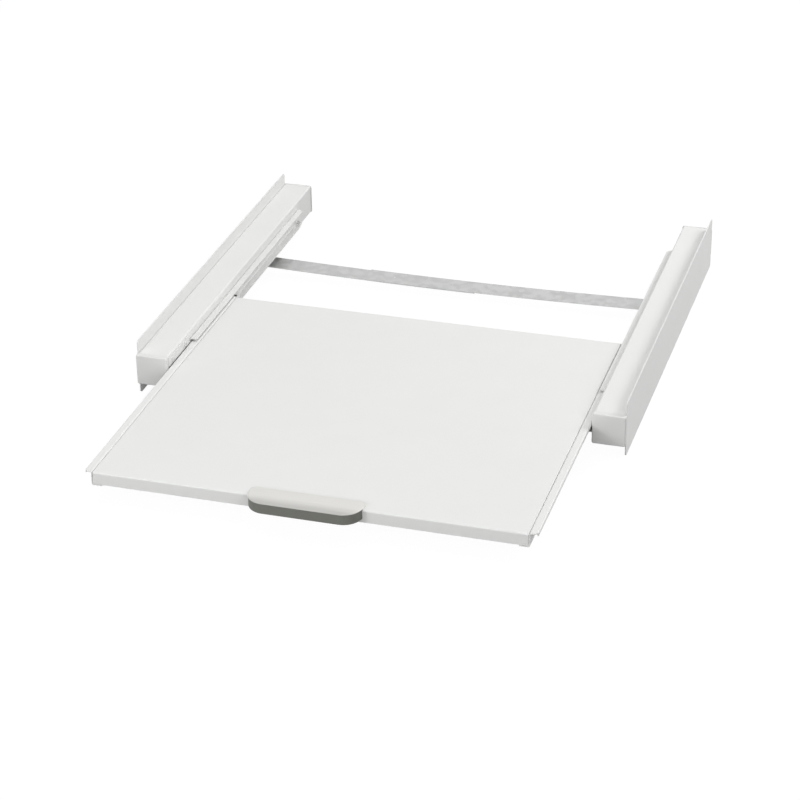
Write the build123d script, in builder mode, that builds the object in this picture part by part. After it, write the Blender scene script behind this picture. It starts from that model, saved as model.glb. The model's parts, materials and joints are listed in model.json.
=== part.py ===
from build123d import *
import math
import os

# Stacking kit for a washer and a dryer, with a pull-out shelf.
# X runs across the machines, Y to the back, Z up; the plates stand on Z = 0.
# Right-hand pieces (positive X) are drawn, and left-hand ones are their mirror images.

# Machines and the play that each side plate leaves them
machine_width = 600
machine_play = 0.5

# Side plates
plate_thickness = 1.5
plate_height = 70
plate_corner = 4
rail_length = 541.5

# Rail boxes, folded from sheet and open towards the plate
box_width = 37.5
box_height = 39
box_above_plate_foot = 15
box_sheet = 1.2
box_bend = 1.5
box_return = 12

# Front and rear caps, plugged into the boxes
cap_depth = 6.5
cap_edge = 0.8
rear_cap_depth = 3.5
rear_cap_edge = 2
cap_corner = 2.5
plug_length = 9
plug_wall = 2
plug_clearance = 0.3
plug_corner = 1.8

# Fixed runners on the boxes' inner faces
runner_sheet = 1.2
runner_bend = 1
track_above_box_foot = 10
track_height = 18.7
track_setback = 2
track_rear_margin = 58.5
track_foot_reach = 9.7
track_roof_reach = 9.4
roof_setback = 71
ear_length = 64
ear_rise = 6.8
ear_corner = 3
track_taper_length = 18
track_taper_width = 2.8
roof_taper = 5
track_corner = 4

# Lanced stops in the tracks, and the hole that a runner hangs by while it is coated
stop_height = 4.5
stop_width = 3.8
stop_from_web = 1.2
stop_gap = 0.5
front_stop_behind_roof = 3.1
hook_hole_radius = 2.25
hook_hole_from_web = 3.5
hook_hole_from_rear = 15

# Rollers and their pins
roller_radius = 6.2
roller_width = 5.6
roller_gap = 0.2
roller_bevel = 0.5
roller_dish_radius = 4.6
roller_dish_depth = 0.8
roller_side_play = 0.1
pin_radius = 2
pin_running_clearance = 0.05
pin_shoulder_radius = 2.5
pin_head_radius = 3.2
pin_head_height = 0.7
pin_tail_radius = 3
pin_tail_height = 0.8
front_roller_setback = 8.5
front_roller_lip_gap = 0.3
rear_roller_behind_tray = 6

# Shelf runners beside the tray
shelf_runner_space = 11.8
shelf_runner_gap = 0.3
shelf_runner_lip = 3
shelf_runner_foot = 12
shelf_runner_foot_gap = 0.3
shelf_runner_rise = 0.9
shelf_runner_tail = 14
shelf_runner_edge_gap = 0.5
shelf_runner_corner = 7
tail_corner = 4

# Shelf tray
tray_shorter_than_rail = 72.5
tray_lip = 15
tray_sheet = 1
tray_bend = 2
tray_hem = 10
pull_out = 255

# Handle
handle_width = 132
handle_reach = 20
handle_overlap = 15
handle_front_corner = 22
handle_back_corner = 6
cover_thickness = 1.2
cover_edge = 1
cover_lift = 2.1
grip_height = 12.8
grip_inset = 0.5
grip_wall = 2.5
grip_roof = 2
grip_edge = 1.2
peg_radius = 2.5
peg_clearance = 0.1
peg_length = 3.5
peg_spacing = 60
peg_from_lip = 9.5
boss_radius = 3.6
boss_length = 7

# Crossbar in two overlapping halves
bar_width = 31
bar_sheet = 1
bar_bend = 1
bar_above_box_foot = 0.3
bar_from_front = 368
bar_tab_gap = 0.4
bar_right_reach = 125
bar_left_reach = 25

# Fasteners
screw_radius = 1.75
screw_head_radius = 3
screw_head_height = 2
screw_head_round = 0.9
screw_length = 8
screw_clearance = 0.3
pilot_clearance = 0.05
ear_screw_inset = 10
ear_screw_spacing = 42
ear_screw_below_top = 5.5
flush_head_radius = 3.2
flush_seat_radius = 2.2
flush_screw_from_rear = 46
flush_screw_spacing = 190
rivet_radius = 1.6
rivet_head_radius = 3.2
rivet_head_height = 0.4
rivet_tail_radius = 2.6
rivet_tail_height = 1.4
rivet_end_margin = 32
tray_rivets_per_side = 4
bar_screw_spacing = 18
bar_screw_below_tab = 3.2
bar_screw_head_radius = 2.7
bar_rivet_radius = 2
bar_rivet_head_radius = 3
bar_rivet_tail_radius = 3.5
bar_rivet_tail_height = 0.3
bar_rivet_spacing = 80
handle_screw_spacing = 98
handle_screw_radius = 1.5
handle_screw_length = 8

# Places across the kit, from the middle outwards
plate_inner = machine_width / 2 + machine_play
plate_outer = plate_inner + plate_thickness
box_inner = plate_inner - box_width
track_face = box_inner - runner_sheet
tray_half = box_inner - shelf_runner_space
shelf_web_inner = tray_half + shelf_runner_gap
shelf_web_outer = shelf_web_inner + runner_sheet
flange_edge = track_face - shelf_runner_edge_gap
front_roller_outer = flange_edge - runner_sheet - front_roller_lip_gap
front_roller_inner = front_roller_outer - roller_width
rear_roller_inner = shelf_web_outer + roller_gap + roller_side_play
rear_roller_outer = rear_roller_inner + roller_width

# Heights
box_foot = box_above_plate_foot
box_top = box_foot + box_height
track_foot = box_foot + track_above_box_foot
track_floor = track_foot + runner_sheet
track_top = track_foot + track_height
roller_z = track_floor + roller_gap + roller_radius
flange_under = roller_z + roller_radius + roller_gap
flange_top = flange_under + runner_sheet
shelf_top = flange_top - shelf_runner_rise
tray_foot = shelf_top - tray_lip
rivet_z = (tray_foot + shelf_top) / 2
cover_under = shelf_top + cover_lift
cover_top = cover_under + cover_thickness
grip_foot = cover_under - grip_height

# Places along the kit, with the middle of its whole length at Y = 0
front_reach = cap_depth + pull_out + handle_reach
rail_front = (front_reach - rail_length - rear_cap_depth) / 2
rail_rear = rail_front + rail_length
cap_front = rail_front - cap_depth
tray_length = rail_length - tray_shorter_than_rail
shelf_front = cap_front - pull_out
tray_rear = shelf_front + tray_length
tail_rear = tray_rear + shelf_runner_tail
handle_front = shelf_front - handle_reach
handle_back = shelf_front + handle_overlap
track_front = rail_front + track_setback
track_rear = rail_rear - track_rear_margin
track_length = track_rear - track_front
roof_front = track_front + roof_setback
front_roller_y = track_front + front_roller_setback
rear_roller_y = tray_rear + rear_roller_behind_tray
bar_y = rail_front + bar_from_front

# Where a roller resting against a stop touches it, measured from the roller's axis
stop_touch_drop = roller_radius + roller_gap - stop_height
stop_touch = math.sqrt(roller_radius ** 2 - stop_touch_drop ** 2)
front_stop_y = roof_front + front_stop_behind_roof
rear_stop_y = rear_roller_y + pull_out + stop_touch + stop_gap
stop_x = track_face - stop_from_web - stop_width / 2

# Places of the fasteners, as (Y, Z) on the rails and the tray's sides
ear_top = track_top + ear_rise
ear_screws = [
    (track_front + ear_screw_inset + i * ear_screw_spacing, ear_top - ear_screw_below_top)
    for i in range(2)
]
flush_screws = [
    (track_rear - flush_screw_from_rear - i * flush_screw_spacing, (track_foot + track_top) / 2)
    for i in range(2)
]
rivet_pitch = (tray_length - 2 * rivet_end_margin) / (tray_rivets_per_side - 1)
tray_rivet_places = [
    (shelf_front + rivet_end_margin + i * rivet_pitch, rivet_z)
    for i in range(tray_rivets_per_side)
]
bar_tab_top = track_foot - bar_tab_gap
bar_screws = [(bar_y + side * bar_screw_spacing / 2, bar_tab_top - bar_screw_below_tab) for side in (-1, 1)]
bar_rivets = [
    ((bar_left_reach - bar_right_reach) / 2 + side * bar_rivet_spacing / 2, bar_y) for side in (-1, 1)
]
left_bar_foot = box_foot + bar_above_box_foot
right_bar_foot = left_bar_foot + bar_sheet
handle_screws_x = [side * handle_screw_spacing / 2 for side in (-1, 1)]
handle_screw_z = (grip_foot + shelf_top) / 2


def across(y):
    """Plane across the kit at depth y; its local X and Y are the kit's X and Z."""
    return Plane(origin=(0, y, 0), x_dir=(1, 0, 0), z_dir=(0, -1, 0))


def folded_section(y, corners, sheet, bend):
    """Section of a folded sheet, given by the corners of its middle line."""
    with BuildSketch(across(y)) as section:
        with BuildLine():
            FilletPolyline(*corners, radius=bend + sheet / 2)
        trace(line_width=sheet)
    return section.sketch


def round_pieces(places, steps):
    """Stepped round pieces along X: places are (Y, Z), steps are (from X, to X, radius)."""
    with BuildPart() as pieces:
        for start, end, radius in steps:
            with BuildSketch(Plane.YZ.offset(start)):
                with Locations(*places):
                    Circle(radius)
            extrude(amount=end - start)
    return pieces.part


def pan_head_screws(places, face, head_radius):
    """Pan-head screws driven outwards along X, with their heads on the given face."""
    with BuildPart() as screws:
        with BuildSketch(Plane.YZ.offset(face)):
            with Locations(*places):
                Circle(head_radius)
        extrude(amount=-screw_head_height)
        fillet(screws.edges().group_by(Axis.X)[0], radius=screw_head_round)
        with BuildSketch(Plane.YZ.offset(face)):
            with Locations(*places):
                Circle(screw_radius)
        extrude(amount=screw_length)
    return screws.part


def both_sides(right):
    """The right-hand solids together with their mirror images."""
    with BuildPart() as pair:
        add(right)
        mirror(about=Plane.YZ)
    return pair.part


def side_plate():
    with BuildPart() as plate:
        with BuildSketch(Plane.YZ.offset(plate_inner)) as outline:
            with Locations(((rail_front + rail_rear) / 2, plate_height / 2)):
                Rectangle(rail_length, plate_height)
            fillet(outline.vertices(), radius=plate_corner)
        extrude(amount=plate_thickness)
    return plate.part


def rail_box():
    inner = box_inner + box_sheet / 2
    outer = plate_inner - box_sheet / 2
    low = box_foot + box_sheet / 2
    high = box_top - box_sheet / 2
    corners = [
        (outer, box_foot + box_return),
        (outer, low),
        (inner, low),
        (inner, high),
        (outer, high),
        (outer, box_top - box_return),
    ]
    with BuildPart() as box:
        extrude(folded_section(rail_front, corners, box_sheet, box_bend), amount=-rail_length)
        with BuildSketch(Plane.YZ.offset(box_inner)):
            with Locations(*ear_screws, *flush_screws, *bar_screws):
                Circle(screw_radius + pilot_clearance)
        extrude(amount=box_sheet, mode=Mode.SUBTRACT)
    return box.part


def end_cap(seam, out, depth, edge):
    """Cap plugged into a rail's end at the seam; out is 1 for the front end and -1 for the rear one."""
    middle = ((box_inner + plate_outer) / 2, (box_foot + box_top) / 2)
    plug_width = box_width - box_sheet * 2 - plug_clearance * 2
    plug_height = box_height - box_sheet * 2 - plug_clearance * 2
    plug_middle = (box_inner + box_width / 2, (box_foot + box_top) / 2)
    with BuildPart() as cap:
        with BuildSketch(across(seam)):
            with Locations(middle):
                RectangleRounded(plate_outer - box_inner, box_height, cap_corner)
        extrude(amount=out * depth)
        fillet(cap.faces().sort_by(lambda face: out * face.center().Y)[0].edges(), radius=edge)
        with BuildSketch(across(seam)):
            with Locations(plug_middle):
                RectangleRounded(plug_width, plug_height, plug_corner)
                Rectangle(plug_width - 2 * plug_wall, plug_height - 2 * plug_wall, mode=Mode.SUBTRACT)
        extrude(amount=-out * plug_length)
    return cap.part


def fixed_runner():
    web = box_inner - runner_sheet / 2
    low = track_foot + runner_sheet / 2
    high = track_top - runner_sheet / 2
    foot_edge = box_inner - track_foot_reach
    roof_edge = box_inner - track_roof_reach
    corners = [(foot_edge, low), (web, low), (web, high), (roof_edge, high)]
    with BuildPart() as runner:
        extrude(folded_section(track_front, corners, runner_sheet, runner_bend), amount=-track_length)
        # The roof starts behind the front roller, so that the shelf can be dropped in
        with BuildSketch(Plane.YZ.offset(roof_edge)):
            with Locations((track_front, roller_z)):
                Rectangle(roof_setback, track_top, align=(Align.MIN, Align.MIN))
        extrude(amount=track_face - roof_edge, mode=Mode.SUBTRACT)
        # Ear that carries the front screws
        with BuildSketch(Plane.YZ.offset(track_face)) as ear:
            with Locations((track_front, roller_z)):
                Rectangle(ear_length, ear_top - roller_z, align=(Align.MIN, Align.MIN))
            fillet(ear.vertices().group_by(Axis.Z)[-1], radius=ear_corner)
        extrude(amount=runner_sheet)
        # Tapered rear ends of the foot and the roof, and the foot's rounded front corner
        foot_end = runner.edges().filter_by(Axis.Z).group_by(Axis.Y)[-1].group_by(Axis.X)[0]
        chamfer(foot_end.sort_by(Axis.Z)[0], length=track_taper_width, length2=track_taper_length)
        roof_end = runner.edges().filter_by(Axis.Z).group_by(Axis.Y)[-1].sort_by(Axis.Z)[-1]
        chamfer(roof_end, length=roof_taper)
        foot_start = runner.edges().filter_by(Axis.Z).group_by(Axis.Y)[0].group_by(Axis.X)[0]
        fillet(foot_start, radius=track_corner)
        # Windows that the two stops are lanced from, the hanging hole and the stops
        window_from_stop = runner_sheet + stop_height / 2
        windows = [front_stop_y - window_from_stop, rear_stop_y + window_from_stop]
        with BuildSketch(Plane.XY.offset(track_foot)):
            with Locations(*[(stop_x, y) for y in windows]):
                Rectangle(stop_width, stop_height)
            with Locations((track_face - hook_hole_from_web, track_rear - hook_hole_from_rear)):
                Circle(hook_hole_radius)
        extrude(amount=runner_sheet, mode=Mode.SUBTRACT)
        stop_middles = [front_stop_y - runner_sheet / 2, rear_stop_y + runner_sheet / 2]
        with BuildSketch(Plane.XY.offset(track_foot)):
            with Locations(*[(stop_x, y) for y in stop_middles]):
                Rectangle(stop_width, runner_sheet)
        extrude(amount=runner_sheet + stop_height)
        # Holes for the ear's screws, the flush screws and the roller's pin
        with BuildSketch(Plane.YZ.offset(track_face)):
            with Locations(*ear_screws):
                Circle(screw_radius + screw_clearance)
            with Locations((front_roller_y, roller_z)):
                Circle(pin_radius + pin_running_clearance)
        extrude(amount=runner_sheet, mode=Mode.SUBTRACT)
        add(flush_cones(pilot_clearance), mode=Mode.SUBTRACT)
    return runner.part


def flush_cones(clearance):
    """Countersunk heads, flush with the inside of the track and resting on the box's wall."""
    with BuildPart() as cones:
        with Locations(*[(track_face, y, z) for y, z in flush_screws]):
            Cone(
                bottom_radius=flush_head_radius + clearance,
                top_radius=flush_seat_radius + clearance,
                height=runner_sheet,
                rotation=(0, 90, 0),
                align=(Align.CENTER, Align.CENTER, Align.MIN),
            )
    return cones.part


def flush_head_screws():
    with BuildPart() as screws:
        add(flush_cones(0))
        with BuildSketch(Plane.YZ.offset(box_inner)):
            with Locations(*flush_screws):
                Circle(screw_radius)
        extrude(amount=screw_length - runner_sheet)
    return screws.part


def roller(inner, outer, y):
    """Roller along X with bevelled rims and a dished inner face."""
    bore = pin_radius + pin_running_clearance
    outline = [
        (inner, bore),
        (inner + roller_dish_depth, roller_dish_radius),
        (inner, roller_dish_radius),
        (inner, roller_radius - roller_bevel),
        (inner + roller_bevel, roller_radius),
        (outer - roller_bevel, roller_radius),
        (outer, roller_radius - roller_bevel),
        (outer, bore),
    ]
    with BuildPart() as wheel:
        with BuildSketch(across(y)):
            with BuildLine():
                Polyline(*[(x, roller_z + radius) for x, radius in outline], close=True)
            make_face()
        revolve(axis=Axis((0, y, roller_z), (1, 0, 0)))
    return wheel.part


def front_pin():
    head = front_roller_inner - roller_side_play
    shoulder = front_roller_outer + roller_side_play
    steps = [
        (head - pin_head_height, head, pin_head_radius),
        (head, shoulder, pin_radius),
        (shoulder, track_face, pin_shoulder_radius),
        (track_face, box_inner, pin_radius),
    ]
    return round_pieces([(front_roller_y, roller_z)], steps)


def rear_pin():
    shoulder = rear_roller_inner - roller_side_play
    head = rear_roller_outer + roller_side_play
    steps = [
        (shelf_web_inner - pin_tail_height, shelf_web_inner, pin_tail_radius),
        (shelf_web_inner, shelf_web_outer, pin_radius),
        (shelf_web_outer, shoulder, pin_shoulder_radius),
        (shoulder, head, pin_radius),
        (head, head + pin_head_height, pin_head_radius),
    ]
    return round_pieces([(rear_roller_y, roller_z)], steps)


def shelf_runner():
    web = shelf_web_outer - runner_sheet / 2
    lip = flange_edge - runner_sheet / 2
    foot = tray_foot - shelf_runner_foot_gap - runner_sheet / 2
    flange = flange_top - runner_sheet / 2
    corners = [
        (shelf_web_outer - shelf_runner_foot, foot),
        (web, foot),
        (web, flange),
        (lip, flange),
        (lip, flange_under - shelf_runner_lip),
    ]
    length = tail_rear - shelf_front
    with BuildPart() as runner:
        extrude(folded_section(shelf_front, corners, runner_sheet, runner_bend), amount=-length)
        # Behind the tray only the web runs on, to carry the rear roller
        with BuildSketch(across(tray_rear)):
            with Locations((web, (tray_foot + flange_under) / 2)):
                Rectangle(2 * shelf_runner_foot, 2 * tray_lip)
                Rectangle(runner_sheet, flange_under - tray_foot - 2 * runner_bend, mode=Mode.SUBTRACT)
        extrude(amount=-shelf_runner_tail, mode=Mode.SUBTRACT)
        fillet(runner.edges().filter_by(Axis.X).group_by(Axis.Y)[-1], radius=tail_corner)
        # The flange's front corner is rounded, which also takes the lip's front end
        with BuildSketch(Plane.XY.offset(flange_under - shelf_runner_lip)):
            with Locations((flange_edge, shelf_front)):
                Rectangle(shelf_runner_corner, shelf_runner_corner, align=(Align.MAX, Align.MIN))
            with Locations((flange_edge - shelf_runner_corner, shelf_front + shelf_runner_corner)):
                Circle(shelf_runner_corner, mode=Mode.SUBTRACT)
        extrude(amount=shelf_runner_lip + runner_sheet, mode=Mode.SUBTRACT)
        with BuildSketch(Plane.YZ.offset(shelf_web_inner)):
            with Locations(*tray_rivet_places):
                Circle(rivet_radius + pilot_clearance)
            with Locations((rear_roller_y, roller_z)):
                Circle(pin_radius + pin_running_clearance)
        extrude(amount=runner_sheet, mode=Mode.SUBTRACT)
    return runner.part


def shelf_tray():
    middle = (0, (shelf_front + tray_rear) / 2)
    with BuildPart() as tray:
        with BuildSketch(Plane.XY.offset(tray_foot)):
            with Locations(middle):
                Rectangle(2 * tray_half, tray_length)
        extrude(amount=tray_lip)
        fillet(tray.faces().sort_by(Axis.Z)[-1].edges(), radius=tray_bend)
        offset(amount=-tray_sheet, openings=tray.faces().sort_by(Axis.Z)[0])
        # Hems turned in under the front and rear lips
        with BuildSketch(Plane.XY.offset(tray_foot)):
            with Locations((0, shelf_front + tray_hem / 2), (0, tray_rear - tray_hem / 2)):
                Rectangle(2 * (tray_half - shelf_runner_foot), tray_hem)
        extrude(amount=tray_sheet)
        with BuildSketch(Plane.YZ.offset(-tray_half)):
            with Locations(*tray_rivet_places):
                Circle(rivet_radius + pilot_clearance)
        extrude(amount=2 * tray_half, mode=Mode.SUBTRACT)
        with BuildSketch(across(shelf_front)):
            with Locations(*[(x, handle_screw_z) for x in handle_screws_x]):
                Circle(handle_screw_radius + screw_clearance)
        extrude(amount=-tray_sheet, mode=Mode.SUBTRACT)
    return tray.part


def tray_rivet_side():
    steps = [
        (tray_half - tray_sheet - rivet_tail_height, tray_half - tray_sheet, rivet_tail_radius),
        (tray_half - tray_sheet, shelf_web_outer, rivet_radius),
        (shelf_web_outer, shelf_web_outer + rivet_head_height, rivet_head_radius),
    ]
    return round_pieces(tray_rivet_places, steps)


def handle_outline(inset, back):
    """Plan of the handle as far back as the given depth, with well rounded front corners."""
    with BuildSketch() as outline:
        with Locations((0, (handle_front + handle_back) / 2)):
            Rectangle(handle_width - 2 * inset, handle_back - handle_front - 2 * inset)
        fillet(outline.vertices().group_by(Axis.Y)[0], radius=handle_front_corner - inset)
        with Locations((0, back)):
            Rectangle(handle_width, handle_width, align=(Align.CENTER, Align.MIN), mode=Mode.SUBTRACT)
    return outline.sketch


def handle_cover():
    with BuildPart() as cover:
        with BuildSketch(Plane.XY.offset(shelf_top)) as plan:
            add(handle_outline(0, handle_back))
            fillet(plan.vertices().group_by(Axis.Y)[-1], radius=handle_back_corner)
        extrude(amount=cover_top - shelf_top)
        fillet(cover.faces().sort_by(Axis.Z)[-1].edges(), radius=cover_edge)
        # Room for the grip in front of the tray's lip
        with BuildSketch(Plane.XY.offset(shelf_top)):
            with Locations((0, shelf_front)):
                Rectangle(handle_width, handle_reach, align=(Align.CENTER, Align.MAX))
        extrude(amount=cover_lift, mode=Mode.SUBTRACT)
        with BuildSketch(Plane.XY.offset(cover_under)):
            with Locations(*[(side * peg_spacing / 2, shelf_front - peg_from_lip) for side in (-1, 1)]):
                Circle(peg_radius)
        extrude(amount=-peg_length)
    return cover.part


def handle_grip():
    with BuildPart() as grip:
        with BuildSketch(Plane.XY.offset(grip_foot)):
            add(handle_outline(grip_inset, shelf_front))
        extrude(amount=grip_height)
        fillet(grip.faces().sort_by(Axis.Z)[0].edges().sort_by(Axis.Y)[:3], radius=grip_edge)
        # Finger recess, open below
        with BuildSketch(Plane.XY.offset(grip_foot)):
            add(handle_outline(grip_inset + grip_wall, shelf_front - grip_wall))
        extrude(amount=grip_height - grip_roof, mode=Mode.SUBTRACT)
        with BuildSketch(across(shelf_front)):
            with Locations(*[(x, handle_screw_z) for x in handle_screws_x]):
                Circle(boss_radius)
        extrude(amount=grip_wall + boss_length)
        with BuildSketch(across(shelf_front)):
            with Locations(*[(x, handle_screw_z) for x in handle_screws_x]):
                Circle(handle_screw_radius + pilot_clearance)
        extrude(amount=handle_screw_length, mode=Mode.SUBTRACT)
        with BuildSketch(Plane.XY.offset(cover_under - grip_roof)):
            with Locations(*[(side * peg_spacing / 2, shelf_front - peg_from_lip) for side in (-1, 1)]):
                Circle(peg_radius + peg_clearance)
        extrude(amount=grip_roof, mode=Mode.SUBTRACT)
    return grip.part


def handle_screws():
    head_face = shelf_front + tray_sheet
    places = [(x, handle_screw_z) for x in handle_screws_x]
    with BuildPart() as screws:
        with BuildSketch(across(head_face)):
            with Locations(*places):
                Circle(screw_head_radius)
        extrude(amount=-screw_head_height)
        fillet(screws.edges().group_by(Axis.Y)[-1], radius=screw_head_round)
        with BuildSketch(across(head_face)):
            with Locations(*places):
                Circle(handle_screw_radius)
        extrude(amount=handle_screw_length)
    return screws.part


def crossbar_half(foot, reach):
    """Strip whose inner end passes the middle by reach, with its end tab on the right."""
    middle = foot + bar_sheet / 2
    tab = box_inner - bar_sheet / 2
    corners = [(-reach, middle), (tab, middle), (tab, bar_tab_top)]
    with BuildPart() as strip:
        section = folded_section(bar_y - bar_width / 2, corners, bar_sheet, bar_bend)
        extrude(section, amount=-bar_width)
        with BuildSketch(Plane.YZ.offset(box_inner - bar_sheet)):
            with Locations(*bar_screws):
                Circle(screw_radius + screw_clearance)
        extrude(amount=bar_sheet, mode=Mode.SUBTRACT)
    return strip.part


def bar_rivet_bodies(clearance):
    """Countersunk rivets through both halves, flush with the top of the upper one."""
    with BuildPart() as rivets:
        with BuildSketch(Plane.XY.offset(left_bar_foot)):
            with Locations(*bar_rivets):
                Circle(bar_rivet_radius + clearance)
        extrude(amount=bar_sheet)
        with Locations(*[(x, y, right_bar_foot) for x, y in bar_rivets]):
            Cone(
                bottom_radius=bar_rivet_radius + clearance,
                top_radius=bar_rivet_head_radius + clearance,
                height=bar_sheet,
                align=(Align.CENTER, Align.CENTER, Align.MIN),
            )
    return rivets.part


def with_bar_rivet_holes(strip):
    """The strip with the two holes of the rivets that join the halves."""
    with BuildPart() as drilled:
        add(strip)
        add(bar_rivet_bodies(pilot_clearance), mode=Mode.SUBTRACT)
    return drilled.part


def crossbar_rivets():
    with BuildPart() as rivets:
        add(bar_rivet_bodies(0))
        with BuildSketch(Plane.XY.offset(left_bar_foot)):
            with Locations(*bar_rivets):
                Circle(bar_rivet_tail_radius)
        extrude(amount=-bar_rivet_tail_height)
    return rivets.part


def save(name, shape):
    shape.label = name
    export_step(shape, f"parts/{name}.step")


def save_pair(name, right):
    """Write the right-hand piece and its mirror image as two sub-parts."""
    save(f"right_{name}", right)
    save(f"left_{name}", mirror(right, about=Plane.YZ))


def main():
    os.makedirs("parts", exist_ok=True)
    save_pair("side_plate", side_plate())
    save_pair("rail_box", rail_box())
    save_pair("front_cap", end_cap(rail_front, 1, cap_depth, cap_edge))
    save_pair("rear_cap", end_cap(rail_rear, -1, rear_cap_depth, rear_cap_edge))
    save_pair("fixed_runner", fixed_runner())
    save_pair("front_roller", roller(front_roller_inner, front_roller_outer, front_roller_y))
    save_pair("rear_roller", roller(rear_roller_inner, rear_roller_outer, rear_roller_y))
    save_pair("shelf_runner", shelf_runner())
    save("front_roller_pins", both_sides(front_pin()))
    save("rear_roller_pins", both_sides(rear_pin()))
    save("runner_ear_screws", both_sides(pan_head_screws(ear_screws, track_face, screw_head_radius)))
    save("runner_flush_screws", both_sides(flush_head_screws()))
    save("shelf_tray", shelf_tray())
    save("tray_rivets", both_sides(tray_rivet_side()))
    save("handle_cover", handle_cover())
    save("handle_grip", handle_grip())
    save("handle_screws", handle_screws())
    right_half = crossbar_half(right_bar_foot, bar_right_reach)
    left_half = mirror(crossbar_half(left_bar_foot, bar_left_reach), about=Plane.YZ)
    save("crossbar_right", with_bar_rivet_holes(right_half))
    save("crossbar_left", with_bar_rivet_holes(left_half))
    save("crossbar_rivets", crossbar_rivets())
    bar_screw_face = box_inner - bar_sheet
    save("crossbar_screws", both_sides(pan_head_screws(bar_screws, bar_screw_face, bar_screw_head_radius)))


main()
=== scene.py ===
"""Dressed model of a washer and dryer stacking kit with a pull-out shelf.

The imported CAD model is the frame. Each sub-assembly is a class that takes its places from the
frame's nodes, builds finer meshes for them and dresses these in their finishes. Everything is in
metres, in the frame's axes: X across the machines, Y to the back and Z up.
"""

import json
import logging
import math
from dataclasses import dataclass, replace
from enum import Enum
from typing import Callable, Optional, Sequence

import bmesh
import bpy
from mathutils import Matrix, Vector

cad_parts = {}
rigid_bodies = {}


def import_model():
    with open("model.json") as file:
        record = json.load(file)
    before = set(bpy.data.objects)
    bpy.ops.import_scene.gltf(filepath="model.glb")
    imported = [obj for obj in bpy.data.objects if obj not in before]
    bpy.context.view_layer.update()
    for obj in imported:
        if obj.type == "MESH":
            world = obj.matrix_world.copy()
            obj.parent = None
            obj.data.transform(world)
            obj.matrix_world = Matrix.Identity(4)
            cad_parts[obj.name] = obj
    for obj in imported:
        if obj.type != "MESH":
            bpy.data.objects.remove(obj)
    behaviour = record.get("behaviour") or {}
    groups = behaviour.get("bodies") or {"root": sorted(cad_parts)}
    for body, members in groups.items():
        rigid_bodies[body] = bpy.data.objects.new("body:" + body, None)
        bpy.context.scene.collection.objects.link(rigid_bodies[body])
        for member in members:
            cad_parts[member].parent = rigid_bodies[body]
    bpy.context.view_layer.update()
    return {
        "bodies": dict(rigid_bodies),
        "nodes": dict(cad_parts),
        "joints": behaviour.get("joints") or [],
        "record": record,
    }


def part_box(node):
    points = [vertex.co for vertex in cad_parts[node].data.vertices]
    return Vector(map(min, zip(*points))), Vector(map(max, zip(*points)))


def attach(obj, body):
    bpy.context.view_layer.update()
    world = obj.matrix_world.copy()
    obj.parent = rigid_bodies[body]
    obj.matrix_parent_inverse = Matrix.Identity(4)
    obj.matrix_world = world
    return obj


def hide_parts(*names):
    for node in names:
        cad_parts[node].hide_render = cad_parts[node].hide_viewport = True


LOG = logging.getLogger("stacking_kit")
MM = 0.001

Point2 = tuple[float, float]
Point3 = tuple[float, float, float]
Color = tuple[float, float, float]
Range = tuple[float, float]
Box = tuple[Vector, Vector]
Direction = Callable[[Vector], Vector]
Socket = bpy.types.NodeSocket
Shape = bmesh.types.BMesh


class Side(Enum):
    LEFT = -1
    RIGHT = 1

    def node(self, piece: str) -> str:
        """Name of this side's CAD node for a piece."""
        return f"{self.name.lower()}_{piece}"


class End(Enum):
    """A rail's two ends, as the sign of the way out of them along Y."""

    FRONT = -1
    REAR = 1


class Body(Enum):
    """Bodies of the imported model."""

    FRAME = "frame"
    SHELF = "shelf"
    FRONT_LEFT_ROLLER = "front_left_roller"
    FRONT_RIGHT_ROLLER = "front_right_roller"
    REAR_LEFT_ROLLER = "rear_left_roller"
    REAR_RIGHT_ROLLER = "rear_right_roller"


class Along(Enum):
    """Direction that a flat outline is drawn out in, as the number of its axis."""

    X = 0
    Y = 1
    Z = 2

    def loop(self, outline: Sequence[Point2], depth: float) -> list[Vector]:
        """Points of a flat outline that is set at a depth along this direction."""
        axis = self.value
        return [Vector((*point[:axis], depth, *point[axis:])) for point in outline]


class Slot(Enum):
    """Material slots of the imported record."""

    WHITE_STEEL = "white_steel"
    WHITE_SCREWS = "white_screws"
    WHITE_PLASTIC = "white_plastic"
    COVER_PLASTIC = "cover_plastic"
    GRIP_PLASTIC = "grip_plastic"
    BLACK_NYLON = "black_nylon"
    ZINC_STEEL = "zinc_steel"
    GALVANISED_STEEL = "galvanised_steel"


class NodeBoard:
    """A node tree that is being wired."""

    def __init__(self, tree: bpy.types.NodeTree) -> None:
        """Keep the tree, without the nodes that Blender puts in a new one."""
        self.tree = tree
        self.tree.nodes.clear()

    def feed(self, socket: Socket, value: object) -> None:
        """Link an input to another node's output, or set it to a plain value.

        Args:
            socket: the input.
            value: output socket, number, vector, colour or name.
        """
        if isinstance(value, Socket):
            self.tree.links.new(value, socket)
        else:
            socket.default_value = value

    def node(
        self, kind: str, feeds: Optional[dict[str | int, object]] = None, **settings: object
    ) -> bpy.types.Node:
        """Add a node.

        Args:
            kind: Blender's name for the type of node.
            feeds: what each input gets, by the input's name or number.
            settings: the node's own properties.

        Returns:
            The new node.
        """
        node = self.tree.nodes.new(kind)
        for name, value in settings.items():
            setattr(node, name, value)
        for name, value in (feeds or {}).items():
            self.feed(node.inputs[name], value)
        return node

    def calc(self, operation: str, one: object, other: object = 0.0) -> Socket:
        """Result of a Math node on two sockets or numbers."""
        return self.node("ShaderNodeMath", {0: one, 1: other}, operation=operation).outputs[0]


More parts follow.
